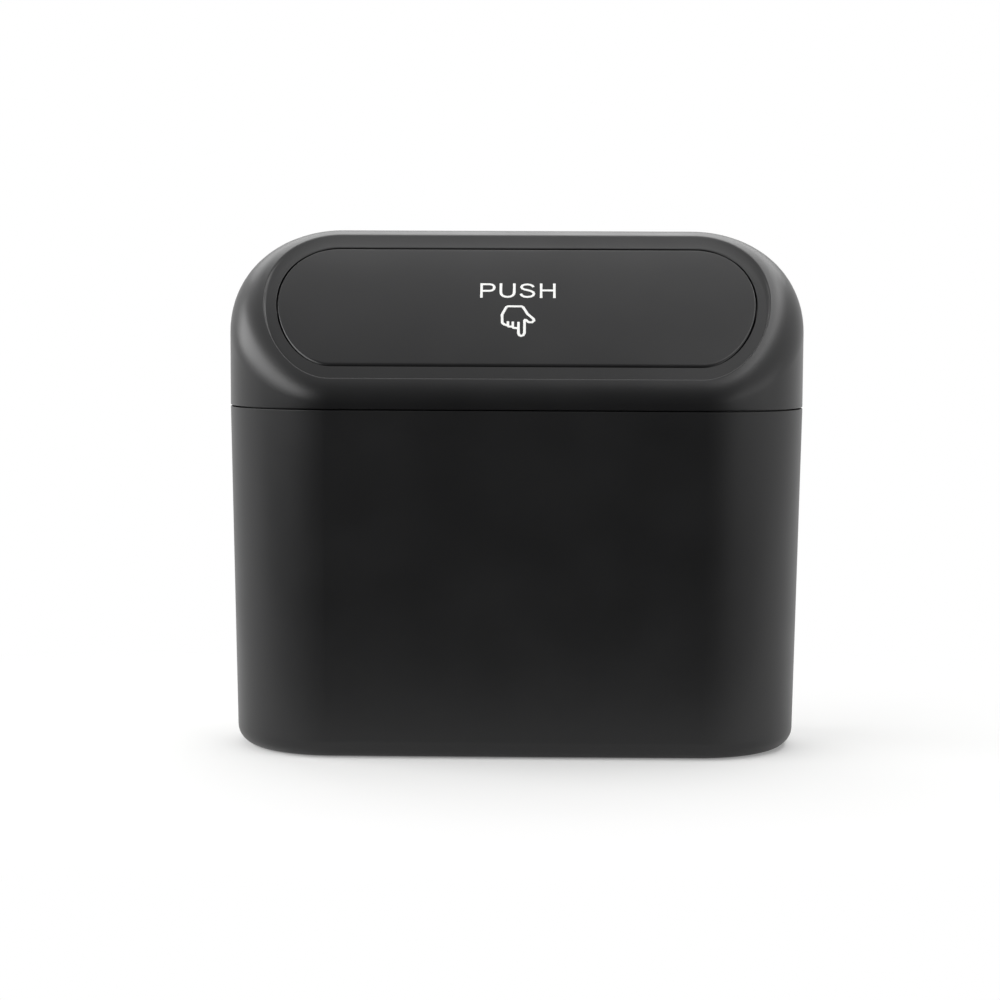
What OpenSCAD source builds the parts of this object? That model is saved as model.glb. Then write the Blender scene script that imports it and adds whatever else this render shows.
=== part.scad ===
// Car trash bin: a slim bin for a door pocket, with a lift-off cover and a sprung push flap.
// Millimetres. X is the width, the front faces -Y and +Z is up.
// The origin is the middle of the base, on the ground.

/* [Bin] */
// Width at the joint between bin and cover
bin_w = 155; // [140:1:190]
// Depth, front to back, at the joint
bin_d = 58; // [54:1:76]
// Height of the joint between bin and cover
joint_z = 92; // [70:1:130]
// How far each wall leans in from the joint to the base
lean = 1.6; // [0.5:0.1:4]
// Wall thickness of the bin
bin_wall = 2.2; // [1.6:0.1:3]
// Outer radius round the base
base_r = 5; // [2:0.5:7]
// Depth of the hollow under the base
base_hollow = 0.6; // [0.3:0.1:1.2]

/* [Cover] */
// Height of the cover above the joint, at its rear crest
cover_h = 48; // [44:1:60]
// Wall thickness of the cover
cover_wall = 2; // [1.6:0.1:2.6]
// Radius of the soft rim
rim_r = 10.5; // [7:0.5:12]
// Upright band at the front, between the joint and the rim
front_band = 1.8; // [1:0.2:6]
// Radius that the slanted top is bowed to
top_bow = 185; // [130:5:400]
// Depth of the step from the rim down to the ledge, at the front
step = 0.9; // [0.5:0.1:1.5]
// Depth of the same step at the rear, where it fades into the crest
rear_step = 0.2; // [0.1:0.05:0.5]
// Width of the ledge round the mouth
ledge_w = 2.9; // [2:0.1:4]
// How far the cover plugs into the bin
plug_h = 8; // [5:0.5:12]
// Gap at the joint when the cover is on
joint_gap = 0.3; // [0.2:0.05:0.6]
// Sideways gap between the plug and the bin at the joint
plug_gap = 0.5; // [0.3:0.05:0.8]
// Length of the snap beads on the plug's front and rear
bead_l = 60; // [20:5:80]
// How far a snap bead stands out of the plug
bead_out = 0.7; // [0.5:0.05:0.9]

/* [Flap] */
// From the side of the cover to the end of the flap
side_margin = 13.6; // [12:0.2:20]
// From the front of the cover to the front edge of the flap
front_margin = 6.2; // [5.5:0.1:9]
// From the rear of the cover to the rear edge of the flap
rear_margin = 20.8; // [18:0.1:26]
// Gap round the flap
flap_gap = 0.7; // [0.5:0.05:1]
// Thickness of the flap
flap_t = 2; // [1.6:0.1:2.4]
// Depth of the wall under the flap's edge
skirt_h = 1.9; // [1.5:0.1:2.6]
// How far the stop flange reaches past the flap's edge
flange_w = 1.3; // [1:0.1:1.8]
// Rest gap between the stop flange and the ledge
stop_gap = 0.3; // [0.2:0.05:0.5]

/* [Hinge] */
// Diameter of the steel rod
rod_d = 2.4; // [2:0.1:3]
// Length of the steel rod
rod_l = 92; // [80:1:95]
// Radial running gap between rod and knuckle
rod_run = 0.08; // [0.03:0.01:0.1]
// Outer radius of the lug and knuckle eyes
eye_r = 2.8; // [2.6:0.1:3]
// How far the axis lies behind the flap's rear edge
axis_back = 1; // [0:0.1:2]
// How far the axis lies below the flap's face
axis_drop = 6.5; // [6.5:0.1:8]
// Diameter of the spring wire
wire_d = 0.8; // [0.6:0.1:1]
// Turns of each spring
spring_turns = 5; // [4:1:6]

/* [Hidden] */
$fn = 96;
// Overlap that joins two shapes of one moulding
lap = 0.1;
// How far a rib or web sinks into the wall that carries it
root = 0.5;
// Distance that a cutting shape runs past the surface it cuts
past = 1;

// The plan is a straight middle with a half circle at each end
end_r = bin_d / 2;
end_x = bin_w / 2 - end_r;
lean_slope = lean / joint_z;
lean_a = atan(lean_slope);
bin_h = joint_z + cover_h;

// The bowed top is an arc about an X axis, tangent to the rim's front and rear balls
ball_y = end_r - rim_r;
front_ball_z = joint_z + front_band;
rear_ball_z = bin_h - rim_r;
half_chord = norm([ball_y, (rear_ball_z - front_ball_z) / 2]);
slant_a = atan2((rear_ball_z - front_ball_z) / 2, ball_y);
bow_reach = sqrt(pow(top_bow - rim_r, 2) - pow(half_chord, 2));
bow_y = bow_reach * sin(slant_a);
bow_z = (front_ball_z + rear_ball_z) / 2 - bow_reach * cos(slant_a);
rim_steps = 10;
end_steps = 36;

// The plug and its snap beads
plug_t = 1.5;
plug_out = end_r - bin_wall - plug_gap;
bead_r = 1;
bead_y = plug_out + bead_out - bead_r;
bead_z = joint_z - plug_h / 2;
bead_gap = 0.3;

// The flap's plan
flap_w = bin_w - 2 * side_margin;
flap_d = bin_d - front_margin - rear_margin;
flap_y = (front_margin - rear_margin) / 2;
flap_rear = flap_y + flap_d / 2;

// The ledge and the flap lie on the seat, an arc of their own. Its axis is moved square to the
// ledge's front edge, so that the step is full at the front and fades towards the rear
seat_front = acos((flap_y - flap_d / 2 - flap_gap - ledge_w - bow_y) / top_bow);
seat_rear = acos((flap_rear + flap_gap + ledge_w - bow_y) / top_bow);
seat_shift = (step - rear_step) / sin(seat_front - seat_rear);
seat_y = bow_y + seat_shift * sin(seat_front);
seat_z = bow_z - seat_shift * cos(seat_front);
face_r = top_bow - step;
ledge_under_r = face_r - cover_wall;
flap_under_r = face_r - flap_t;
skirt_r = flap_under_r - skirt_h;
skirt_t = 1.6;
mouth_top = bin_h + past;
mouth_base = joint_z - plug_h;

// The hinge: from the rod's end inwards a lug, a knuckle, a spring, a knuckle and a lug on each side
axis_y = flap_rear + axis_back;
axis_z = seat_height(axis_y, face_r) - axis_drop;
lug_t = 2.4;
knuckle_t = 2.8;
side_play = 0.4;
rod_end = 1.8;
spring_room = 13.2;
outer_lug_x = rod_l / 2 - rod_end - lug_t / 2;
outer_knuckle_x = outer_lug_x - (lug_t + knuckle_t) / 2 - side_play;
inner_knuckle_x = outer_knuckle_x - knuckle_t - spring_room;
inner_lug_x = inner_knuckle_x - (knuckle_t + lug_t) / 2 - side_play;
spring_x = (outer_knuckle_x + inner_knuckle_x) / 2;

// Height at depth y of an arc of radius r about the axis at arc_y, arc_z
function arc_height(y, r, arc_y, arc_z) = arc_z + sqrt(pow(r, 2) - pow(y - arc_y, 2));

// Height at depth y of the seat's arc of radius r
function seat_height(y, r) = arc_height(y, r, seat_y, seat_z);

// One point of the rim: a turns round the plan's end, s goes from the wall (0) to the top (1)
function rim_point(a, s, inset) =
    let (side = [cos(a), sin(a), 0],
         y = ball_y * sin(a),
         z = arc_height(y, top_bow - rim_r, bow_y, bow_z),
         up = [0, y - bow_y, z - bow_z] / (top_bow - rim_r),
         turn = acos(side * up),
         aim = (side * sin((1 - s) * turn) + up * sin(s * turn)) / sin(turn))
    [end_x + ball_y * cos(a), y, z] + (rim_r - inset) * aim;

// One point of the hood's upright wall
function wall_point(a, z, inset) = [end_x + (end_r - inset) * cos(a), (end_r - inset) * sin(a), z];

// A closed ring from its right half, front to rear
function ring(right) =
    concat(right, [for (i = [len(right) - 1 : -1 : 0]) [-right[i][0], right[i][1], right[i][2]]]);

// The hood as a solid, shrunk by inset on every side: upright wall, rolling-ball rim, bowed top
module hood(base_z, inset, ends, steps) {
    turns = [for (i = [0 : ends]) -90 + 180 * i / ends];
    rings = concat(
        [ring([for (a = turns) wall_point(a, base_z, inset)])],
        [for (k = [0 : steps]) ring([for (a = turns) rim_point(a, k / steps, inset)])]);
    n = 2 * (ends + 1);
    top = (len(rings) - 1) * n;
    sides = [for (j = [0 : len(rings) - 2]) for (i = [0 : n - 1])
        [(j + 1) * n + i, (j + 1) * n + (i + 1) % n, j * n + (i + 1) % n, j * n + i]];
    crown = [for (i = [0 : ends - 1]) [top + n - 1 - i, top + n - 2 - i, top + i + 1, top + i]];
    polyhedron(
        points = [for (r = rings) each r],
        faces = concat([[for (i = [0 : n - 1]) i]], sides, crown));
}

// A straight block with half round ends, w by d, between two heights
module obround(w, d, z0, z1) {
    translate([0, 0, z0])
        linear_extrude(z1 - z0)
            union() {
                square([w - d, d], center = true);
                for (side = [-1, 1])
                    translate([side * (w - d) / 2, 0])
                        circle(d = d);
            }
}

// The flap's plan grown by more on every side
module flap_block(more, z0 = mouth_base, z1 = mouth_top) {
    translate([0, flap_y, 0])
        obround(flap_w + 2 * more, flap_d + 2 * more, z0, z1);
}

// A round bar along X with its middle on the seat's axis
module seat(r) {
    translate([0, seat_y, seat_z])
        rotate([0, 90, 0])
            cylinder(r = r, h = bin_w + 2 * past, center = true, $fn = 720);
}

// A plate in the YZ plane, t thick, its middle at x
module side_plate(x, t) {
    translate([x - t / 2, 0, 0])
        rotate([90, 0, 90])
            linear_extrude(t)
                children();
}

// Distance of the bin's leaning wall from the middle of its end, at height z
function wall_r(z, inset) = end_r - inset / cos(lean_a) + (z - joint_z) * lean_slope;

// Half of the bin's section: wall leaning in, rounded into the floor
module cup_half(inset, floor_z, fillet, top_z) {
    round_x = wall_r(floor_z + fillet, inset) - fillet / cos(lean_a);
    polygon([
        [0, floor_z],
        [round_x, floor_z],
        [round_x + fillet * cos(lean_a), floor_z + fillet * (1 - sin(lean_a))],
        [wall_r(top_z, inset), top_z],
        [0, top_z]]);
    translate([round_x, floor_z + fillet])
        circle(r = fillet);
}

// The bin's section swept round both ends and along the middle
module swept() {
    for (side = [-1, 1])
        translate([side * end_x, 0, 0])
            rotate([0, 0, -90 * side])
                rotate_extrude(angle = 180)
                    children();
    translate([-end_x, 0, 0])
        rotate([90, 0, 90])
            linear_extrude(2 * end_x)
                union() {
                    children();
                    mirror([1, 0])
                        children();
                }
}

// A bar along X at the height of the snap beads, on the front (-1) or the rear (1)
module bead_bar(side, r, length) {
    translate([0, side * bead_y, bead_z])
        rotate([0, 90, 0])
            cylinder(r = r, h = length, center = true);
}

// Lower bin: one moulding, open at the top, with snap grooves and a shallow hollow under the base
module bin_body() {
    floor_t = 2.4;
    inner_r = 3;
    foot_ring = 4;
    foot_in = lean + base_r + foot_ring;
    mouth_flare = 0.5;
    color([0.09, 0.09, 0.10])
        difference() {
            swept()
                cup_half(0, 0, base_r, joint_z);
            swept()
                cup_half(bin_wall, floor_t, inner_r, joint_z + past);
            swept()
                polygon([
                    [0, joint_z - mouth_flare],
                    [wall_r(joint_z, bin_wall), joint_z - mouth_flare],
                    [wall_r(joint_z, bin_wall) + mouth_flare, joint_z],
                    [wall_r(joint_z, bin_wall) + mouth_flare, joint_z + past],
                    [0, joint_z + past]]);
            for (side = [-1, 1])
                bead_bar(side, bead_r + bead_gap, bead_l + 2 * bead_gap);
            obround(bin_w - 2 * foot_in, bin_d - 2 * foot_in, -past, base_hollow);
        }
}

// A point on the outline of the hinge eyes, by its angle from the rear
function eye_point(a) = [axis_y + eye_r * cos(a), axis_z + eye_r * sin(a)];

// A bar on the hinge axis, larger than the rod by gap on the radius
module rod_bar(length, gap) {
    translate([0, axis_y, axis_z])
        rotate([0, 90, 0])
            cylinder(d = rod_d + 2 * gap, h = length, center = true);
}

// Hinge lug of the cover: an eye on a web that runs up and back into the rear wall
module lug(x) {
    web_drop = 8;
    sunk_r = rim_r - cover_wall + root;
    crest_a = acos((ball_y - bow_y) / (top_bow - rim_r));
    roof = [for (i = [0 : rim_steps])
        let (a = crest_a * (1 - i / rim_steps))
        [ball_y + sunk_r * cos(a), rear_ball_z + sunk_r * sin(a)]];
    side_plate(x, lug_t)
        union() {
            translate([axis_y, axis_z])
                circle(r = eye_r);
            polygon(concat(
                [[axis_y, axis_z], eye_point(0)],
                roof,
                [[ball_y + sunk_r, axis_z - web_drop], eye_point(-90)]));
        }
}

// Plug under the cover: a straight skirt with a lead-in and snap beads, and the shoulder that ties
// it to the hood
module plug() {
    shoulder = 1.6;
    lead_in = 0.4;
    lead_h = 1;
    plug_base = joint_z - plug_h;
    plug_in = plug_out - plug_t;
    shoulder_out = end_r - cover_wall / 2;
    swept()
        polygon([
            [plug_in, plug_base],
            [plug_out - lead_in, plug_base],
            [plug_out, plug_base + lead_h],
            [plug_out, joint_z + joint_gap],
            [shoulder_out, joint_z + joint_gap],
            [shoulder_out, joint_z + shoulder],
            [plug_in, joint_z + shoulder]]);
    for (side = [-1, 1])
        bead_bar(side, bead_r, bead_l);
}

// Cover: hood with the slanted, bowed top, the stepped ledge, the mouth, the plug and the hinge lugs
module top_cover() {
    color([0.08, 0.08, 0.09])
        difference() {
            union() {
                difference() {
                    hood(joint_z + joint_gap, 0, end_steps, rim_steps);
                    difference() {
                        hood(joint_z, cover_wall, end_steps, rim_steps);
                        difference() {
                            flap_block(flap_gap + ledge_w + cover_wall);
                            seat(ledge_under_r);
                        }
                    }
                    difference() {
                        flap_block(flap_gap + ledge_w);
                        seat(face_r);
                    }
                    flap_block(flap_gap);
                }
                plug();
                for (side = [-1, 1]) {
                    lug(side * outer_lug_x);
                    lug(side * inner_lug_x);
                }
            }
            rod_bar(rod_l, 0);
        }
}

// Knuckle of the flap: an eye behind the flap's edge on an arm that runs under the flap
module knuckle(x) {
    arm = 13;
    top_r = flap_under_r + root;
    side_plate(x, knuckle_t)
        union() {
            translate([axis_y, axis_z])
                circle(r = eye_r);
            polygon([
                [axis_y, axis_z],
                eye_point(100),
                [flap_rear - root, seat_height(flap_rear - root, top_r)],
                [flap_rear - arm, seat_height(flap_rear - arm, top_r)],
                [flap_rear - arm, seat_height(flap_rear - arm, flap_under_r)],
                eye_point(235)]);
        }
}

// The layer between two arcs of the seat
module layer(outer_r, inner_r) {
    difference() {
        seat(outer_r);
        seat(inner_r);
    }
}

// A wall that follows the flap's edge from reach outside it to the skirt's inner side, open at the rear
module edge_wall(reach) {
    rear_clear = 6;
    difference() {
        flap_block(reach);
        flap_block(-skirt_t, mouth_base - past, mouth_top + past);
        translate([-bin_w / 2, flap_rear - rear_clear, mouth_base - past])
            cube([bin_w, bin_d, bin_h]);
    }
}

// Ribs under the flap, front to rear, between its edge walls
module flap_ribs() {
    rib_t = 1.4;
    rib_gap = 17;
    rib_end = 6;
    intersection() {
        flap_block(lap - skirt_t);
        for (i = [-2 : 2])
            translate([i * rib_gap - rib_t / 2, -bin_d, mouth_base])
                cube([rib_t, bin_d + flap_rear - rib_end, bin_h]);
    }
}

// Flap: bowed plate with an edge wall, a stop flange under the ledge, ribs and knuckles
module push_flap() {
    color([0.10, 0.10, 0.11])
        difference() {
            union() {
                intersection() {
                    flap_block(0);
                    layer(face_r, flap_under_r);
                }
                intersection() {
                    edge_wall(0);
                    layer(flap_under_r + lap, skirt_r + lap);
                }
                intersection() {
                    edge_wall(flange_w);
                    layer(ledge_under_r - stop_gap, skirt_r);
                }
                intersection() {
                    flap_ribs();
                    layer(flap_under_r + lap, skirt_r + lap);
                }
                for (side = [-1, 1]) {
                    knuckle(side * outer_knuckle_x);
                    knuckle(side * inner_knuckle_x);
                }
            }
            rod_bar(bin_w, rod_run);
        }
}

// Steel rod that the flap turns on, held in the cover's lugs
module hinge_rod() {
    color([0.62, 0.63, 0.65])
        rod_bar(rod_l, 0);
}

// A wire of radius r along a path of points, as one closed tube
module wire(path, r, sides) {
    last = len(path) - 1;
    aims = [for (i = [0 : last])
        let (run = path[min(i + 1, last)] - path[max(i - 1, 0)])
        run / norm(run)];
    points = [for (i = [0 : last])
        let (near = abs(aims[i][0]) > 0.9 ? [0, 1, 0] : [1, 0, 0],
             across = cross(aims[i], near) / norm(cross(aims[i], near)),
             over = cross(across, aims[i]))
        for (k = [0 : sides - 1])
            path[i] + r * (across * cos(360 * k / sides) + over * sin(360 * k / sides))];
    skin = [for (i = [0 : last - 1]) for (k = [0 : sides - 1])
        [i * sides + k, i * sides + (k + 1) % sides,
         (i + 1) * sides + (k + 1) % sides, (i + 1) * sides + k]];
    polyhedron(
        points = points,
        faces = concat(
            [[for (k = [sides - 1 : -1 : 0]) k]],
            skin,
            [[for (k = [0 : sides - 1]) last * sides + k]]));
}

// Torsion spring round the rod: one leg under the flap, the other under the rear of the hood
module spring() {
    coil_gap = 0.35;
    coil_r = (rod_d + wire_d) / 2 + coil_gap;
    pitch = wire_d + 0.2;
    turn_steps = 20;
    start_a = 127;
    leg_gap = 0.15;
    flap_leg = 11;
    hood_leg = 6;
    count = turn_steps * spring_turns;
    first_x = spring_x - pitch * spring_turns / 2;
    coil = [for (i = [0 : count])
        let (a = start_a - 360 * i / turn_steps)
        [first_x + pitch * i / turn_steps, axis_y + coil_r * cos(a), axis_z + coil_r * sin(a)]];
    leg_drop = wire_d / 2 + leg_gap;
    flap_end = [first_x, flap_rear - flap_leg, seat_height(flap_rear - flap_leg, flap_under_r - leg_drop)];
    hood_end = [first_x + pitch * spring_turns, axis_y + hood_leg,
        seat_height(axis_y + hood_leg, ledge_under_r - leg_drop)];
    color([0.70, 0.70, 0.72])
        wire(concat([flap_end], coil, [hood_end]), wire_d / 2, 8);
}

module left_spring() {
    mirror([1, 0, 0])
        spring();
}

module right_spring() {
    spring();
}

bin_body();
top_cover();
push_flap();
hinge_rod();
left_spring();
right_spring();
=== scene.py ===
"""A slim car trash bin: its lower bin, its lift-off cover and the sprung push flap, in studio light."""
import math

import bmesh
import bpy
from mathutils import Matrix, Vector


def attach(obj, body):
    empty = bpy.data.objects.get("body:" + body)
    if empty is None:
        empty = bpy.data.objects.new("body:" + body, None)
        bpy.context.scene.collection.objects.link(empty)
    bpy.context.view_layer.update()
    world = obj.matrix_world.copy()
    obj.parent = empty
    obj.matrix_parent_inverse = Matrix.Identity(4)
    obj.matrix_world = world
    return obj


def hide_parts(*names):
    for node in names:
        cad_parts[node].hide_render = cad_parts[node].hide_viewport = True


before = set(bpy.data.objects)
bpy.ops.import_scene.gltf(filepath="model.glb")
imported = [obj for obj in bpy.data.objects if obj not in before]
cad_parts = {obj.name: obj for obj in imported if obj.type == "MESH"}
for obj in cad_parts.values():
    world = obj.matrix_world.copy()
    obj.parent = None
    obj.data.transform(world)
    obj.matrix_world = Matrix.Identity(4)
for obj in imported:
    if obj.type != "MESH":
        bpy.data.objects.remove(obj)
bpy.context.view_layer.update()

# The lower bin: a slim cup of black ABS with half round ends, injection moulded in one piece.
# Its walls lean in a little towards the base, so that it leaves the mould. The steel that shaped
# it was spark eroded, which gives every face the same fine satin grain. All sizes are in mm.

mm = 0.001
joint_z = 92
end_x = 48.5
end_r = 29
base_r = 27.4
base_round = 4.91
base_ring = 9
base_hollow = 0.6
lip_w = 1.7
lip_flare = 0.5
mouth_r = 26.79
floor_z = 2.4
floor_r = 25.24
floor_round = 2.95
bead_y = 26
bead_z = 88
bead_r = 1
bead_l = 60
bead_gap = 0.3
broken_edge = 0.15
# Facets of both round ends together, and how near to its place a corner is to be picked
facets = 128
near = 0.1 * mm


def take(*pieces):
    """Selects only these pieces, in object mode, and makes the first one active."""
    if bpy.context.mode != "OBJECT":
        bpy.ops.object.mode_set(mode="OBJECT")
    bpy.ops.object.select_all(action="DESELECT")
    for piece in reversed(pieces):
        piece.select_set(True)
        bpy.context.view_layer.objects.active = piece


def begin(name):
    """Names the new primitive, lays its place into its mesh and opens it for editing."""
    piece = bpy.context.object
    piece.name = piece.data.name = name
    bpy.ops.object.transform_apply(location=True, rotation=True, scale=True)
    bpy.ops.object.mode_set(mode="EDIT")
    return piece


def pick(kind, test):
    """Selects the verts, edges or faces of the mesh in edit mode whose corners all pass the test."""
    mesh = bmesh.from_edit_mesh(bpy.context.edit_object.data)
    bpy.ops.mesh.select_mode(type={"verts": "VERT", "edges": "EDGE", "faces": "FACE"}[kind])
    bpy.ops.mesh.select_all(action="DESELECT")
    for item in getattr(mesh, kind):
        corners = [item] if kind == "verts" else item.verts
        if all(test(corner.co) for corner in corners):
            item.select_set(True)
    bmesh.update_edit_mesh(bpy.context.edit_object.data)


def pull(x=0, z=0):
    """Extrudes what is selected, by a distance in mm to the right or up."""
    bpy.ops.mesh.extrude_region_move(TRANSFORM_OT_translate={"value": (x * mm, 0, z * mm)})


def widen(factor):
    """Scales the selected round ring about the middle of its own axis."""
    bpy.ops.transform.resize(value=(factor, factor, 1), center_override=(0, 0, 0))


def draw_out(distance):
    """Pulls the two halves of a round shape apart, which leaves half round ends on a straight middle."""
    pick("verts", lambda at: at.x > 0)
    bpy.ops.transform.translate(value=(distance * mm, 0, 0))
    pick("verts", lambda at: at.x < 0)
    bpy.ops.transform.translate(value=(-distance * mm, 0, 0))


def fuse(piece, tool, operation):
    """Joins the tool to the piece or cuts it out of the piece, and removes the tool."""
    take(piece)
    bpy.ops.object.modifier_add(type="BOOLEAN")
    joining = piece.modifiers[-1]
    joining.operation = operation
    joining.solver = "EXACT"
    joining.object = tool
    bpy.ops.object.modifier_apply(modifier=joining.name)
    bpy.data.objects.remove(tool)


def bar(name, radius, length, y, z):
    """A round bar that lies across the bin, along X, open for editing."""
    take()
    bpy.ops.mesh.primitive_cylinder_add(
        vertices=48, radius=radius * mm, depth=length * mm,
        location=(0, y * mm, z * mm), rotation=(0, math.radians(90), 0))
    return begin(name)


def finish(piece, angle):
    """Smooths the piece up to the given angle, with the normals of its large faces kept flat."""
    take(piece)
    bpy.ops.object.shade_smooth_by_angle(angle=math.radians(angle))
    bpy.ops.object.modifier_add(type="WEIGHTED_NORMAL")
    piece.modifiers[-1].keep_sharp = True
    bpy.ops.object.modifier_apply(modifier=piece.modifiers[-1].name)


take()
bpy.ops.mesh.primitive_cone_add(
    vertices=facets, radius1=base_r * mm, radius2=end_r * mm, depth=joint_z * mm,
    location=(0, 0, joint_z / 2 * mm), rotation=(0, 0, math.pi / facets))
bin_shell = begin("bin_shell")

# The inside: a small flare at the mouth, then the wall down to the floor with its round corner
pick("faces", lambda at: at.z > joint_z * mm - near)
bpy.ops.mesh.inset(thickness=lip_w * mm)
pull(z=-lip_flare)
widen(mouth_r / (end_r - lip_w))
pull(z=floor_z - (joint_z - lip_flare))
widen(floor_r / mouth_r)
pick("edges", lambda at: abs(at.z - floor_z * mm) < near)
bpy.ops.mesh.bevel(offset=floor_round * mm, segments=6)

# The outside: the hollow under the base, the round bottom edge and the soft top edge
pick("faces", lambda at: at.z < near)
bpy.ops.mesh.inset(thickness=base_ring * mm)
pull(z=base_hollow)
pick("edges", lambda at: at.z < near and at.xy.length > base_r * mm - near)
bpy.ops.mesh.bevel(offset=base_round * mm, segments=12)
pick("edges", lambda at: at.z < near and at.xy.length < (base_r - base_ring) * mm + near)
bpy.ops.mesh.bevel(offset=0.2 * mm, segments=2)
pick("edges", lambda at: at.z > joint_z * mm - near and at.xy.length > end_r * mm - near)
bpy.ops.mesh.bevel(offset=broken_edge * mm, segments=2)
draw_out(end_x)

# The two grooves inside the mouth that the cover's snap beads click into
for side in (-1, 1):
    groove = bar("groove", bead_r + bead_gap, bead_l + 2 * bead_gap, side * bead_y, bead_z)
    fuse(bin_shell, groove, "DIFFERENCE")
finish(bin_shell, 35)


def colour(value):
    """A hex colour as written for a screen, turned into the linear values that a shader takes."""
    parts = [int(value[i:i + 2], 16) / 255 for i in (1, 3, 5)]
    return [c / 12.92 if c <= 0.04045 else ((c + 0.055) / 1.055) ** 2.4 for c in parts] + [1]


def blank(name):
    """A new material that has no nodes yet."""
    material = bpy.data.materials.new(name)
    material.use_nodes = True
    material.node_tree.nodes.clear()
    return material


def add(material, kind, links=None, **settings):
    """Adds a node: settings are its own, and links give each input a value or another node's output."""
    node = material.node_tree.nodes.new(kind)
    for name, value in settings.items():
        setattr(node, name, value)
    for name, value in (links or {}).items():
        if isinstance(value, bpy.types.NodeSocket):
            material.node_tree.links.new(value, node.inputs[name])
        else:
            node.inputs[name].default_value = value
    return node


def dress(piece, material):
    """Gives the piece this material and no other."""
    piece.data.materials.clear()
    piece.data.materials.append(material)


def moulded_abs(name, base, worn, gloss):
    """Satin black ABS: an even eroded grain, a slow drift of gloss over the flow of the plastic,
    and a faint lighter bloom where hands rub it."""
    material = blank(name)
    place = add(material, "ShaderNodeTexCoord").outputs["Object"]
    # The real grain is near 0.05 mm. It is drawn at 0.25 mm, the finest that shows at this distance.
    grain = add(material, "ShaderNodeTexNoise", {
        "Vector": place, "Scale": 1 / (0.25 * mm), "Detail": 2, "Roughness": 0.55})
    # The gloss drifts over some 22 mm.
    drift = add(material, "ShaderNodeTexNoise", {"Vector": place, "Scale": 45, "Detail": 3})
    tone = add(material, "ShaderNodeMix", {
        "Factor": drift.outputs["Fac"], 6: colour(base), 7: colour(worn)}, data_type="RGBA")
    rough = add(material, "ShaderNodeMapRange", {
        "Value": drift.outputs["Fac"], "From Min": 0.3, "From Max": 0.7,
        "To Min": gloss - 0.025, "To Max": gloss + 0.025})
    bump = add(material, "ShaderNodeBump", {
        "Height": grain.outputs["Fac"], "Strength": 0.25, "Distance": 0.04 * mm})
    shader = add(material, "ShaderNodeBsdfPrincipled", {
        "Base Color": tone.outputs[2], "Roughness": rough.outputs["Result"],
        "Normal": bump.outputs["Normal"], "IOR": 1.46})
    add(material, "ShaderNodeOutputMaterial", {"Surface": shader.outputs["BSDF"]})
    return material


dress(bin_shell, moulded_abs("satin black ABS, bin", "#111112", "#151516", 0.4))
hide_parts("bin_body")
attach(bin_shell, "bin")

# The cover: a hood of the same black ABS that plugs into the bin. Its top slants to the front in a
# gentle bow, and one constant radius rolls round the whole rim. A step drops from the rim to a
# narrow ledge round the mouth. Lugs for the hinge are moulded under its rear.

top_z = 140
rim_r = 10.5
front_band = 1.8
top_bow = 185
cover_wall = 2
joint_gap = 0.3
foot_round = 0.3
plug_r = 26.3
plug_wall = 1.5
plug_base = 84
plug_top = 93.6
flap_x = 48.4
flap_y = -7.3
flap_r = 15.5
ledge_out = 3.6
step = 0.9
rear_step = 0.2
lip_out = 0.42
lip_round = 0.14
mouth_out = 0.85
stop_out = 2.6
hood_facets = 64

# The bowed top is an arc that touches the round of the rim at the front and at the rear
ball_y = end_r - rim_r
front_ball_z = joint_z + front_band
rear_ball_z = top_z - rim_r
ball_rise = (rear_ball_z - front_ball_z) / 2
slant = math.atan2(ball_rise, ball_y)
bow_reach = math.sqrt((top_bow - rim_r) ** 2 - ball_y ** 2 - ball_rise ** 2)
bow = (bow_reach * math.sin(slant), (front_ball_z + rear_ball_z) / 2 - bow_reach * math.cos(slant))

# The ledge and the flap lie on an arc of their own. Its centre is moved square to the ledge's front
# edge, so that the step is full in front and fades to the rear
ledge_r = flap_r + ledge_out
front_a = math.acos((flap_y - ledge_r - bow[0]) / top_bow)
rear_a = math.acos((flap_y + ledge_r - bow[0]) / top_bow)
shift = (step - rear_step) / math.sin(front_a - rear_a)
seat = (bow[0] + shift * math.sin(front_a), bow[1] - shift * math.cos(front_a))
face_r = top_bow - step
under_r = face_r - cover_wall


def arc_height(centre, y, radius):
    """Height at depth y of an arc about its centre: the bow of the top or the ledge's seat."""
    return centre[1] + math.sqrt(radius ** 2 - (y - centre[0]) ** 2)


def hood_wall(a, radius, z):
    """A point on the upright wall, where a goes round the right end from front to rear."""
    return Vector((end_x + radius * math.cos(a), radius * math.sin(a), z))


def hood_rim(a, radius, part):
    """A point on the rolling ball rim: part goes from the wall (0) to the slanted top (1)."""
    centre = Vector((end_x + ball_y * math.cos(a), ball_y * math.sin(a), 0))
    centre.z = arc_height(bow, centre.y, top_bow - rim_r)
    out = Vector((math.cos(a), math.sin(a), 0))
    up = Vector((0, centre.y - bow[0], centre.z - bow[1])).normalized()
    turn = out.angle(up)
    aim = (out * math.sin((1 - part) * turn) + up * math.sin(part * turn)) / math.sin(turn)
    return centre + radius * aim


def mouth(a, outset, centre, radius):
    """A point that lies outset from the flap's outline, on the arc of that centre and radius."""
    y = flap_y + (flap_r + outset) * math.sin(a)
    return Vector((flap_x + (flap_r + outset) * math.cos(a), y, arc_height(centre, y, radius)))


def hood_outside(a):
    """The outline of the cover at a, from the joint up the wall and most of the way over the rim."""
    foot_z = joint_z + joint_gap
    rim_part = 0.93
    rim_rows = 14
    rows = [hood_wall(a, end_r - foot_round * back, foot_z + foot_round * rise)
            for back, rise in ((1, 0), (0.3, 0.3), (0, 1))]
    return rows + [hood_rim(a, rim_r, rim_part * k / rim_rows) for k in range(rim_rows + 1)]


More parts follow.
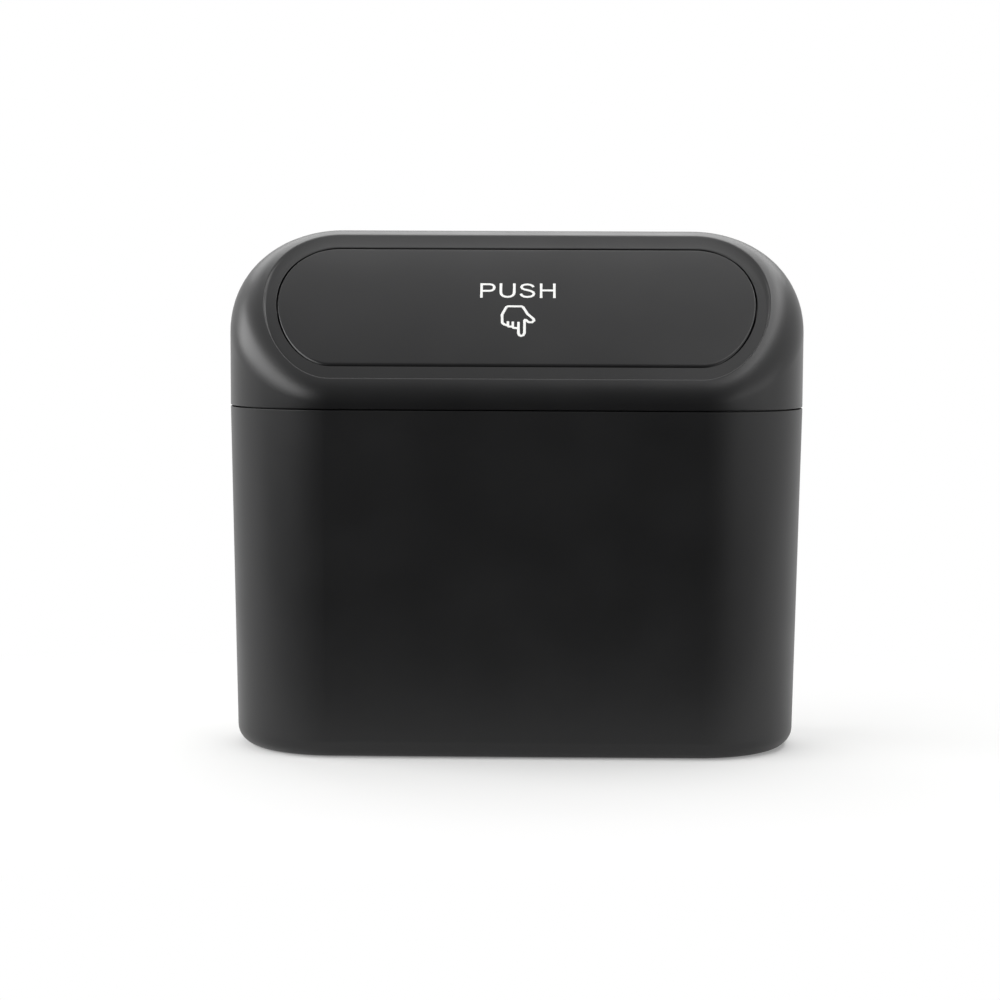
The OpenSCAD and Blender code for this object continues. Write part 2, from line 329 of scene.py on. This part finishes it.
def hood_ledge(a, edge):
    """The outline from the rim's edge in to the mouth, over the step, the ledge and the lip."""
    foot = mouth(a, ledge_out, seat, face_r)
    depth = top_bow - math.hypot(foot.y - bow[0], foot.z - bow[1])
    front_depth = 0.93
    rear_depth = 0.22
    ledge_middle = 1.93
    # Towards the rear the step gets lower and softer, and at last it runs out over the whole ledge.
    soft = ((front_depth - depth) / (front_depth - rear_depth)) ** 2
    above = 1.1 * soft ** 2
    below = 2.2 * soft
    ridge_r = 0.55 * depth
    ridge = mouth(a, ledge_out + ridge_r + above, bow, top_bow)
    drop = arc_height(bow, edge.y, top_bow) - edge.z
    rows = []
    for part in (0.3, 0.65):
        point = edge.lerp(ridge, part)
        point.z = arc_height(bow, point.y, top_bow) - drop * (1 - part) ** 2
        rows.append(point)
    for degrees in range(0, 91, 18):
        turn = math.radians(degrees)
        outset = ledge_out + ridge_r * (1 - math.sin(turn)) + above * math.cos(turn)
        rows.append(mouth(a, outset, bow, top_bow - ridge_r * (1 - math.cos(turn))))
    for part, slide in ((0.3, 0.25), (0.08, 0.6), (0, 1)):
        outset = ledge_out - 0.25 * (0.3 - part) - below * slide
        rows.append(mouth(a, outset, seat, face_r + part * depth))
    rows.append(mouth(a, ledge_out - 0.3 - below, seat, face_r))
    rows.append(mouth(a, ledge_middle - below / 2, seat, face_r))
    for degrees in range(0, 91, 30):
        turn = math.radians(degrees)
        outset = lip_out + lip_round * (1 - math.sin(turn))
        rows.append(mouth(a, outset, seat, face_r - lip_round * (1 - math.cos(turn))))
    # Below the lip the wall falls back, as the flap's edge swings forward a little on its way down.
    rows.append(mouth(a, mouth_out, seat, under_r + broken_edge))
    rows.append(mouth(a, mouth_out + broken_edge, seat, under_r))
    rows.append(mouth(a, stop_out, seat, under_r))
    return rows


def hood_inside(a, start):
    """The outline of the cover's inside at a: out under the top, down the rim and round the plug."""
    inner_r = rim_r - cover_wall
    out = Vector((math.cos(a), math.sin(a), 0))
    up = hood_rim(a, 1, 1) - hood_rim(a, 0, 1)
    # The inside leaves the round of the rim 26.6 degrees short of the top
    part_of_rim = 1 - math.radians(26.6) / out.angle(up)
    root = hood_rim(a, inner_r, part_of_rim)
    rows = []
    for part in (0.35, 0.7):
        point = start.lerp(root, part)
        point.z = arc_height(seat, point.y, under_r)
        rows.append(point)
    rows += [hood_rim(a, inner_r, part_of_rim * (1 - k / 8)) for k in range(9)]
    plug_inner_r = plug_r - plug_wall
    plug = [(end_r - cover_wall, plug_top), (plug_inner_r, plug_top), (plug_inner_r, plug_base + 0.3),
            (plug_inner_r + 0.2, plug_base), (plug_r - 0.3, plug_base), (plug_r, plug_base + 0.4),
            (plug_r, joint_z + joint_gap)]
    return rows + [hood_wall(a, radius, z) for radius, z in plug]


# No edit tool rolls one radius along a slanted, bowed edge, so a ring is added whose section has
# as many points as the outline of the wall, and each of its points is laid on that outline.
outlines = []
for i in range(hood_facets + 1):
    a = math.radians(180 * i / hood_facets - 90)
    rows = hood_outside(a)
    rows += hood_ledge(a, rows[-1])
    rows += hood_inside(a, rows[-1])
    outlines.append(rows)
outlines += [[Vector((-p.x, p.y, p.z)) for p in rows] for rows in reversed(outlines)]
take()
bpy.ops.mesh.primitive_torus_add(
    major_segments=len(outlines), minor_segments=len(outlines[0]), generate_uvs=False)
hood = begin("hood")
bpy.ops.object.mode_set(mode="OBJECT")
for i, rows in enumerate(outlines):
    for j, point in enumerate(rows):
        hood.data.vertices[i * len(rows) + j].co = point * mm
bpy.ops.object.mode_set(mode="EDIT")
bpy.ops.mesh.select_all(action="SELECT")
bpy.ops.mesh.normals_make_consistent(inside=False)

# The snap beads on the plug, front and rear
for side in (-1, 1):
    bead = bar("bead", bead_r, bead_l, side * bead_y, bead_z)
    for end in (-1, 1):
        pick("edges", lambda at: end * at.x > bead_l / 2 * mm - near)
        bpy.ops.mesh.bevel(offset=0.4 * mm, segments=3)
    fuse(hood, bead, "UNION")

# The hinge's axis lies behind the flap's rear edge and 6.5 mm below its face
axis_y = flap_y + flap_r + 1
axis_z = arc_height(seat, axis_y, face_r) - 6.5
eye_r = 2.8
lug_t = 2.4
knuckle_t = 2.8
rod_r = 1.2
rod_gap = 0.08
rod_l = 92


def eye(degrees):
    """A point on the round of the hinge eyes, by its angle from the rear."""
    a = math.radians(degrees)
    return axis_y + eye_r * math.cos(a), axis_z + eye_r * math.sin(a)


def plate(name, outline, x, thickness):
    """A plate that stands across X, cut to an outline of (y, z) points, with its edges broken."""
    take()
    bpy.ops.mesh.primitive_circle_add(vertices=len(outline), fill_type="NGON")
    piece = begin(name)
    bpy.ops.object.mode_set(mode="OBJECT")
    for corner, (y, z) in zip(piece.data.vertices, outline):
        corner.co = Vector((x - thickness / 2, y, z)) * mm
    bpy.ops.object.mode_set(mode="EDIT")
    bpy.ops.mesh.select_all(action="SELECT")
    pull(x=thickness)
    bpy.ops.mesh.select_all(action="SELECT")
    bpy.ops.mesh.normals_make_consistent(inside=False)
    for side in (-1, 1):
        pick("edges", lambda at: side * (at.x / mm - x) > thickness * 0.49)
        bpy.ops.mesh.bevel(offset=broken_edge * mm, segments=2)
    return piece


def bore(piece, radius):
    """Cuts the hole for the hinge rod through the piece."""
    fuse(piece, bar("drill", radius, rod_l, axis_y, axis_z), "DIFFERENCE")


# The four hinge lugs: an eye on a web that runs up into the rear of the hood, 0.5 mm into its wall
web_r = rim_r - cover_wall + 0.5
crest_a = math.acos((ball_y - bow[0]) / (top_bow - rim_r))
lug_outline = [eye(degrees) for degrees in range(-90, -361, -15)]
for i in range(11):
    a = crest_a * (1 - i / 10)
    lug_outline.append((ball_y + web_r * math.cos(a), rear_ball_z + web_r * math.sin(a)))
lug_outline.append((ball_y + web_r, axis_z - 8))
for lug_x in (-43, -21, 21, 43):
    fuse(hood, plate("lug", lug_outline, lug_x, lug_t), "UNION")
bore(hood, rod_r)
finish(hood, 35)
dress(hood, moulded_abs("satin black ABS, cover", "#0e0e0f", "#121213", 0.36))
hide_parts("top_cover")
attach(hood, "cover")

# The flap: a bowed plate of black ABS with a wall under its edge, a stop flange that bears up
# against the ledge, five ribs and four knuckles. It is made flat, then laid on the bow of its
# seat, and its knuckles run on the steel rod.

flap_t = 2
flap_wall = 1.6
flange_drop = 0.3
flange_t = 1.6
flange_w = 1.3
wall_end_y = 9.5
rib_t = 1.4
rib_h = 1.8
arm_end_y = -4.8

take()
bpy.ops.mesh.primitive_cylinder_add(
    vertices=facets, radius=flap_r * mm, depth=flap_t * mm,
    location=(0, 0, -flap_t / 2 * mm), rotation=(0, 0, math.pi / facets))
flap = begin("flap")
pick("faces", lambda at: at.z < near - flap_t * mm)
pull(z=-flange_drop)
pull(z=-flange_t)
bpy.ops.mesh.inset(thickness=flap_wall * mm)
pull(z=flange_drop + flange_t)
pick("faces", lambda at: at.z < near - (flap_t + flange_drop) * mm and at.xy.length > flap_r * mm - near)
bpy.ops.mesh.extrude_region_shrink_fatten(TRANSFORM_OT_shrink_fatten={"value": flange_w * mm})
pick("edges", lambda at: at.z > -near)
bpy.ops.mesh.bevel(offset=0.3 * mm, segments=3)
draw_out(flap_x)


def block(low, high):
    """A plain box between two corners, open for editing."""
    take()
    bpy.ops.mesh.primitive_cube_add(size=1, location=[(a + b) / 2 * mm for a, b in zip(low, high)])
    bpy.context.object.scale = [(b - a) * mm for a, b in zip(low, high)]
    return begin("block")


# The wall and its flange end short of the rear edge, where the hinge needs the room
fuse(flap, block((-80, wall_end_y, -6), (80, 20, -flap_t)), "DIFFERENCE")

# The ribs reach a little into the wall in front and into the plate above
for rib_x in (-34, -17, 0, 17, 34):
    low = (rib_x - rib_t / 2, flap_wall - flap_r - 0.2, -flap_t - rib_h)
    fuse(flap, block(low, (rib_x + rib_t / 2, wall_end_y, 0.1 - flap_t)), "UNION")
bpy.ops.object.mode_set(mode="EDIT")
bpy.ops.mesh.select_all(action="SELECT")
bpy.ops.transform.translate(value=(0, flap_y * mm, 0))
for y in range(-25, 11):
    bpy.ops.mesh.select_all(action="SELECT")
    bpy.ops.mesh.bisect(plane_co=(0, y * mm, 0), plane_no=(0, 1, 0))
bpy.ops.object.mode_set(mode="OBJECT")
for corner in flap.data.vertices:
    corner.co.z = arc_height(seat, corner.co.y / mm, face_r + corner.co.z / mm) * mm

# The knuckles: an eye behind the flap's rear edge, on an arm that runs under the plate
knuckle_outline = [eye(degrees) for degrees in range(-125, 101, 15)]
knuckle_outline += [(y, arc_height(seat, y, under_r + 0.5)) for y in (7.7, 3.5, -0.7, arm_end_y)]
knuckle_outline.append((arm_end_y, arc_height(seat, arm_end_y, under_r)))
for knuckle_x in (-40, -24, 24, 40):
    fuse(flap, plate("knuckle", knuckle_outline, knuckle_x, knuckle_t), "UNION")
bore(flap, rod_r + rod_gap)
finish(flap, 35)
dress(flap, moulded_abs("satin black ABS, flap", "#0f0f10", "#131314", 0.31))
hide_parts("push_flap")
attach(flap, "flap")

# The print: the word PUSH and a plain sign of a pressing hand, pad printed on the flap in white ink.
# Both are drawn flat with round strokes and laid on the flap's bow, where the ink stands 0.05 mm proud.

ink_height = 0.14


def wire(name, points, radius, closed=False):
    """A round wire through points in mm, as one closed mesh."""
    take()
    bpy.ops.curve.primitive_nurbs_path_add()
    path = bpy.context.object.data
    path.splines.clear()
    run = path.splines.new("POLY")
    run.points.add(len(points) - 1)
    for corner, place in zip(run.points, points):
        corner.co = (place[0] * mm, place[1] * mm, place[2] * mm, 1)
    run.use_cyclic_u = closed
    path.bevel_depth = radius * mm
    path.bevel_resolution = 3
    path.use_fill_caps = True
    bpy.ops.object.convert(target="MESH")
    piece = bpy.context.object
    piece.name = piece.data.name = name
    bpy.ops.object.mode_set(mode="EDIT")
    bpy.ops.mesh.select_all(action="SELECT")
    bpy.ops.mesh.remove_doubles(threshold=0.001 * mm)
    bpy.ops.mesh.normals_make_consistent(inside=False)
    finish(piece, 40)
    return piece


def stroke(points, radius, closed=False):
    """One stroke of the print, drawn flat through (x, y) points in mm."""
    return wire("stroke", [(x, y, 0) for x, y in points], radius, closed)


def printed(name, strokes, middle):
    """Joins strokes into one piece, flattens them to a film of ink and lays them on the flap. Their Y
    runs up the flap's bow from middle, which is an arc length in mm."""
    take(*strokes)
    bpy.ops.object.join()
    piece = bpy.context.object
    piece.name = piece.data.name = name
    middle_arc = face_r * math.asin((flap_y - seat[0]) / face_r) + middle
    for corner in piece.data.vertices:
        turn = (middle_arc + corner.co.y / mm) / face_r
        radius = face_r + ink_height * corner.co.z / mm
        corner.co.y = (seat[0] + radius * math.sin(turn)) * mm
        corner.co.z = (seat[1] + radius * math.cos(turn)) * mm
    return piece


# The letters are single strokes, given in mm about the middle of the word
letter_lines = [
    [(-9.42, -2.82), (-9.42, 2.82)],
    [(-9.78, 2.46), (-7.3, 2.46), (-6.6, 2.28), (-6.15, 1.85), (-6.0, 1.2), (-6.15, 0.5), (-6.6, 0.02),
     (-7.3, -0.14), (-9.42, -0.14)],
    [(-4.23, 2.82), (-4.23, -0.6), (-4.13, -1.35), (-3.78, -1.96), (-3.2, -2.34), (-2.43, -2.46),
     (-1.66, -2.34), (-1.08, -1.96), (-0.73, -1.35), (-0.63, -0.6), (-0.63, 2.82)],
    [(4.5, 1.35), (4.25, 1.92), (3.7, 2.32), (2.9, 2.46), (2.1, 2.35), (1.5, 1.98), (1.28, 1.42),
     (1.5, 0.86), (2.1, 0.46), (3.0, 0.18), (3.85, -0.14), (4.45, -0.6), (4.66, -1.18), (4.45, -1.82),
     (3.85, -2.28), (2.95, -2.46), (2.05, -2.33), (1.42, -1.9), (1.14, -1.25)],
    [(6.58, -2.82), (6.58, 2.82)],
    [(10.13, -2.82), (10.13, 2.82)],
    [(6.58, 0.1), (10.13, 0.1)]]
word = printed("push_word", [stroke(line, 0.37) for line in letter_lines], 3.2)

# The hand is drawn in mm about the middle of the sign: the outline first, then the folded fingers
hand_outline = [
    (-2.3, 5.3), (1.4, 5.3), (1.8, 5.0), (3.0, 2.5), (4.6, 0.7), (4.7, 0.1), (4.2, -0.5), (3.3, -0.5),
    (2.6, 0.3), (2.3, 0.4), (2.2, 0.1), (2.2, -4.3), (1.9, -5.1), (1.3, -5.3), (0.8, -5.0), (0.6, -4.3),
    (0.6, -2.9), (0.2, -2.6), (-0.7, -2.5), (-1.1, -2.1), (-2.0, -2.0), (-2.4, -1.6), (-3.2, -1.3),
    (-3.7, -0.7), (-3.8, 2.2), (-2.7, 5.0)]
finger_lines = [[(0.6, -2.9), (0.6, -0.4)], [(-0.9, -2.3), (-0.9, -0.3)], [(-2.2, -1.8), (-2.2, -0.2)]]
hand_strokes = [stroke(hand_outline, 0.38, closed=True)]
hand_strokes += [stroke(line, 0.34) for line in finger_lines]
hand = printed("press_sign", hand_strokes, -8.15)

ink = blank("white pad printing ink")
place = add(ink, "ShaderNodeTexCoord").outputs["Object"]
# The ink lies a little unevenly: its cover varies over about 0.5 mm.
cover = add(ink, "ShaderNodeTexNoise", {"Vector": place, "Scale": 1 / (0.5 * mm), "Detail": 3})
ink_tone = add(ink, "ShaderNodeMix", {
    "Factor": cover.outputs["Fac"], 6: colour("#f4f4f2"), 7: colour("#e6e6e4")}, data_type="RGBA")
film = add(ink, "ShaderNodeBump", {
    "Height": cover.outputs["Fac"], "Strength": 0.2, "Distance": 0.03 * mm})
ink_shader = add(ink, "ShaderNodeBsdfPrincipled", {
    "Base Color": ink_tone.outputs[2], "Roughness": 0.45, "Normal": film.outputs["Normal"], "IOR": 1.5})
add(ink, "ShaderNodeOutputMaterial", {"Surface": ink_shader.outputs["BSDF"]})
for print_piece in (word, hand):
    dress(print_piece, ink)
    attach(print_piece, "flap")

# The hinge rod: a straight length of drawn steel, pressed into the cover's lugs. The flap's knuckles
# turn on it. Its solid is kept as it is and gets the finish of drawn wire.


def drawn_steel(name, base, gloss):
    """Bright steel with the fine lines that drawing through a die leaves along it."""
    material = blank(name)
    place = add(material, "ShaderNodeTexCoord").outputs["Object"]
    # Die lines lie about 0.11 mm apart across the rod and run on for some 20 mm along it.
    along = add(material, "ShaderNodeMapping", {"Vector": place, "Scale": (50, 9000, 9000)})
    lines = add(material, "ShaderNodeTexNoise", {"Vector": along.outputs["Vector"], "Scale": 1, "Detail": 3})
    # Faint stains are some 8 mm wide.
    stain = add(material, "ShaderNodeTexNoise", {"Vector": place, "Scale": 120, "Detail": 4})
    tone = add(material, "ShaderNodeMix", {
        "Factor": stain.outputs["Fac"], 6: colour(base), 7: colour("#a9a8a6")}, data_type="RGBA")
    rough = add(material, "ShaderNodeMapRange", {
        "Value": lines.outputs["Fac"], "To Min": gloss - 0.06, "To Max": gloss + 0.08})
    groove = add(material, "ShaderNodeBump", {
        "Height": lines.outputs["Fac"], "Strength": 0.2, "Distance": 0.02 * mm})
    shader = add(material, "ShaderNodeBsdfPrincipled", {
        "Base Color": tone.outputs[2], "Metallic": 1.0, "Roughness": rough.outputs["Result"],
        "Normal": groove.outputs["Normal"]})
    add(material, "ShaderNodeOutputMaterial", {"Surface": shader.outputs["BSDF"]})
    return material


dress(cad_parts["hinge_rod"], drawn_steel("drawn steel rod", "#c4c4c6", 0.3))

# The springs: two torsion springs of 0.8 mm steel wire, wound round the rod between the knuckles.
# One leg bears under the flap and turns with it, the other bears under the rear of the hood.

spring_steel = drawn_steel("spring steel wire", "#b2b2b5", 0.34)
coil_x = 29.5
coil_r = 1.95
coil_turns = 5
pitch = 1
wire_r = 0.4
leg_a = 127
leg_drop = 0.55
flap_leg_y = -2.8
hood_leg_y = 15.2


def coil(side, last_a):
    """Points of the spring's coil, from its flap leg round to an angle in degrees."""
    count = round((leg_a - last_a) / 12)
    angles = [leg_a - 12 * i for i in range(count + 1)]
    return [(side * (coil_x + pitch * (leg_a - a) / 360), axis_y + coil_r * math.cos(math.radians(a)),
             axis_z + coil_r * math.sin(math.radians(a))) for a in angles]


def leg_end(x, y):
    """The end of a spring's leg, which bears on the underside at that place."""
    return x, y, arc_height(seat, y, under_r - leg_drop)


for side, name in ((-1, "left_spring"), (1, "right_spring")):
    hood_end = leg_end(side * (coil_x + pitch * coil_turns), hood_leg_y)
    flap_end = leg_end(side * coil_x, flap_leg_y)
    wound = wire(name + "_coil", coil(side, leg_a - 360 * coil_turns) + [hood_end], wire_r)
    # The leg is a hair thinner, so that it ends inside the coil
    leg = wire(name + "_leg", [flap_end] + coil(side, 55), wire_r - 0.01)
    for piece, body in ((wound, "cover"), (leg, "flap")):
        dress(piece, spring_steel)
        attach(piece, body)
    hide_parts(name)

# The floor: a round sheet of white studio paper, 2.4 m across. Its far part glows as the white tent
# behind it does, so that no horizon shows.

take()
bpy.ops.mesh.primitive_circle_add(vertices=facets, radius=1.2, fill_type="NGON")
floor = bpy.context.object
floor.name = "floor"
paper = blank("white studio paper")
place = add(paper, "ShaderNodeTexCoord").outputs["Object"]
# The fibres of the paper lie in flocks of about 1 mm.
fibre = add(paper, "ShaderNodeTexNoise", {"Vector": place, "Scale": 900, "Detail": 3})
tooth = add(paper, "ShaderNodeBump", {
    "Height": fibre.outputs["Fac"], "Strength": 0.1, "Distance": 0.05 * mm})
matt_white = add(paper, "ShaderNodeBsdfPrincipled", {
    "Base Color": colour("#f1f1f0"), "Roughness": 0.9, "Specular IOR Level": 0.1,
    "Normal": tooth.outputs["Normal"]})
glow = add(paper, "ShaderNodeEmission", {"Color": (1, 1, 1, 1), "Strength": 1.0})
oval = add(paper, "ShaderNodeMapping", {"Vector": place, "Scale": (0.5, 1, 1)})
reach = add(paper, "ShaderNodeVectorMath", {0: oval.outputs["Vector"]}, operation="LENGTH")
fade = add(paper, "ShaderNodeMapRange", {
    "Value": reach.outputs["Value"], "From Min": -0.02, "From Max": 0.16}, interpolation_type="SMOOTHSTEP")
spread = add(paper, "ShaderNodeMixShader", {
    0: fade.outputs["Result"], 1: matt_white.outputs["BSDF"], 2: glow.outputs["Emission"]})
# For glossy rays the paper in front of the bin is painted dark: a painted dark reflection of the tent's
# opening, so that only its near part shows white in the bin's gloss.
depth = add(paper, "ShaderNodeSeparateXYZ", {"Vector": place}).outputs["Y"]
front = add(paper, "ShaderNodeMapRange", {"Value": depth, "From Min": -0.04, "From Max": -0.12})
glossy = add(paper, "ShaderNodeLightPath").outputs["Is Glossy Ray"]
painted_reflection_mask = add(paper, "ShaderNodeMath", {0: front.outputs["Result"], 1: glossy}, operation="MULTIPLY")
# The painted dark reflection: a dark diffuse sheet that only glossy rays see, in front of the bin.
painted_dark_reflection = add(paper, "ShaderNodeBsdfDiffuse", {"Color": colour("#1a1a1a")})
sheet = add(paper, "ShaderNodeMixShader", {
    0: painted_reflection_mask.outputs[0], 1: spread.outputs["Shader"], 2: painted_dark_reflection.outputs["BSDF"]})
add(paper, "ShaderNodeOutputMaterial", {"Surface": sheet.outputs["Shader"]})
dress(floor, paper)

# The light tent: a white page to the camera. In reflections its white fades to a dark opening
# where the camera looks in, which is narrower than it is high.

world = bpy.data.worlds.new("white tent")
bpy.context.scene.world = world
world.use_nodes = True
world.node_tree.nodes.clear()
ray = add(world, "ShaderNodeLightPath").outputs
page = add(world, "ShaderNodeMath", {0: ray["Is Camera Ray"], 1: ray["Is Glossy Ray"]},
           operation="MAXIMUM")
page = add(world, "ShaderNodeMath", {0: page.outputs[0], 1: ray["Is Transmission Ray"]},
           operation="MAXIMUM")
level = add(world, "ShaderNodeMapRange", {"Value": page.outputs[0], "To Min": 0.4, "To Max": 1.0})
sky = add(world, "ShaderNodeTexCoord").outputs["Generated"]
wide = add(world, "ShaderNodeMapping", {"Vector": sky, "Location": (0.08, 0, 0), "Scale": (1.45, 0, 1)})
off_axis = add(world, "ShaderNodeVectorMath", {0: wide.outputs["Vector"]}, operation="LENGTH")
fall = add(world, "ShaderNodeMath", {0: off_axis.outputs["Value"], 1: 4.0}, operation="POWER",
           use_clamp=True)
backward = add(world, "ShaderNodeSeparateXYZ", {"Vector": sky}).outputs["Y"]
behind = add(world, "ShaderNodeMapRange", {"Value": backward, "From Min": -0.05, "From Max": 0.3})
cloth = add(world, "ShaderNodeMath", {0: fall.outputs[0], 1: behind.outputs["Result"]},
            operation="MAXIMUM")
cloth_level = add(world, "ShaderNodeMapRange", {"Value": cloth.outputs[0], "To Min": 0.01, "To Max": 0.95})
mirror = add(world, "ShaderNodeMix", {
    "Factor": ray["Is Glossy Ray"], "A": level.outputs["Result"], "B": cloth_level.outputs["Result"]})
tent = add(world, "ShaderNodeBackground", {"Color": (1, 1, 1, 1), "Strength": mirror.outputs["Result"]})
add(world, "ShaderNodeOutputWorld", {"Surface": tent.outputs["Background"]})

# The lamps: a strip light at each side, as the long bright bands on the rim show, a weak fill low
# on the right, and a wide soft light above the rear for the crest. Places and sizes are in metres.


def softbox(name, place, aim, size, power):
    """A rectangular soft light at place, turned to the point that it aims at."""
    bpy.ops.object.light_add(type="AREA", location=place)
    lamp = bpy.context.object
    lamp.name = name
    lamp.data.shape = "RECTANGLE"
    lamp.data.size, lamp.data.size_y = size
    lamp.data.energy = power
    lamp.visible_camera = False
    lamp.rotation_euler = (Vector(aim) - Vector(place)).to_track_quat("-Z", "X").to_euler()


softbox("left strip light", (-0.88, -0.47, 0.56), (0, -0.36, 0.1), (0.5, 1.8), 13.5)
softbox("right strip light", (0.5, -0.1, 1.05), (0, 0, 0.1), (0.28, 1.2), 4.2)
softbox("right fill light", (0.9, -0.55, 0.15), (0, 0, 0.08), (0.4, 1.0), 1.3)
softbox("rear soft light", (0, 0.8, 0.95), (0, 0, 0.1), (0.6, 1.6), 8)

# The camera: a long lens 0.6 m in front of the bin, at the height of its cover. Its place and its
# turns in radians are those that lay the bin where the reference shows it.

camera_place = Vector((-4.295, -593.68, 118.95)) * mm
swing = 0.0144
dip = 0.0883
roll = 0.0045
bpy.ops.object.camera_add()
camera = bpy.context.object
camera.matrix_world = (
    Matrix.Rotation(swing, 4, "Z")
    @ Matrix.Translation(camera_place)
    @ Matrix.Rotation(math.pi / 2 - dip, 4, "X")
    @ Matrix.Rotation(roll, 4, "Z"))
camera.data.sensor_width = 36
camera.data.lens = 78.57
camera.data.clip_start = 0.01
bpy.context.scene.camera = camera
bpy.context.scene.view_settings.view_transform = "Standard"
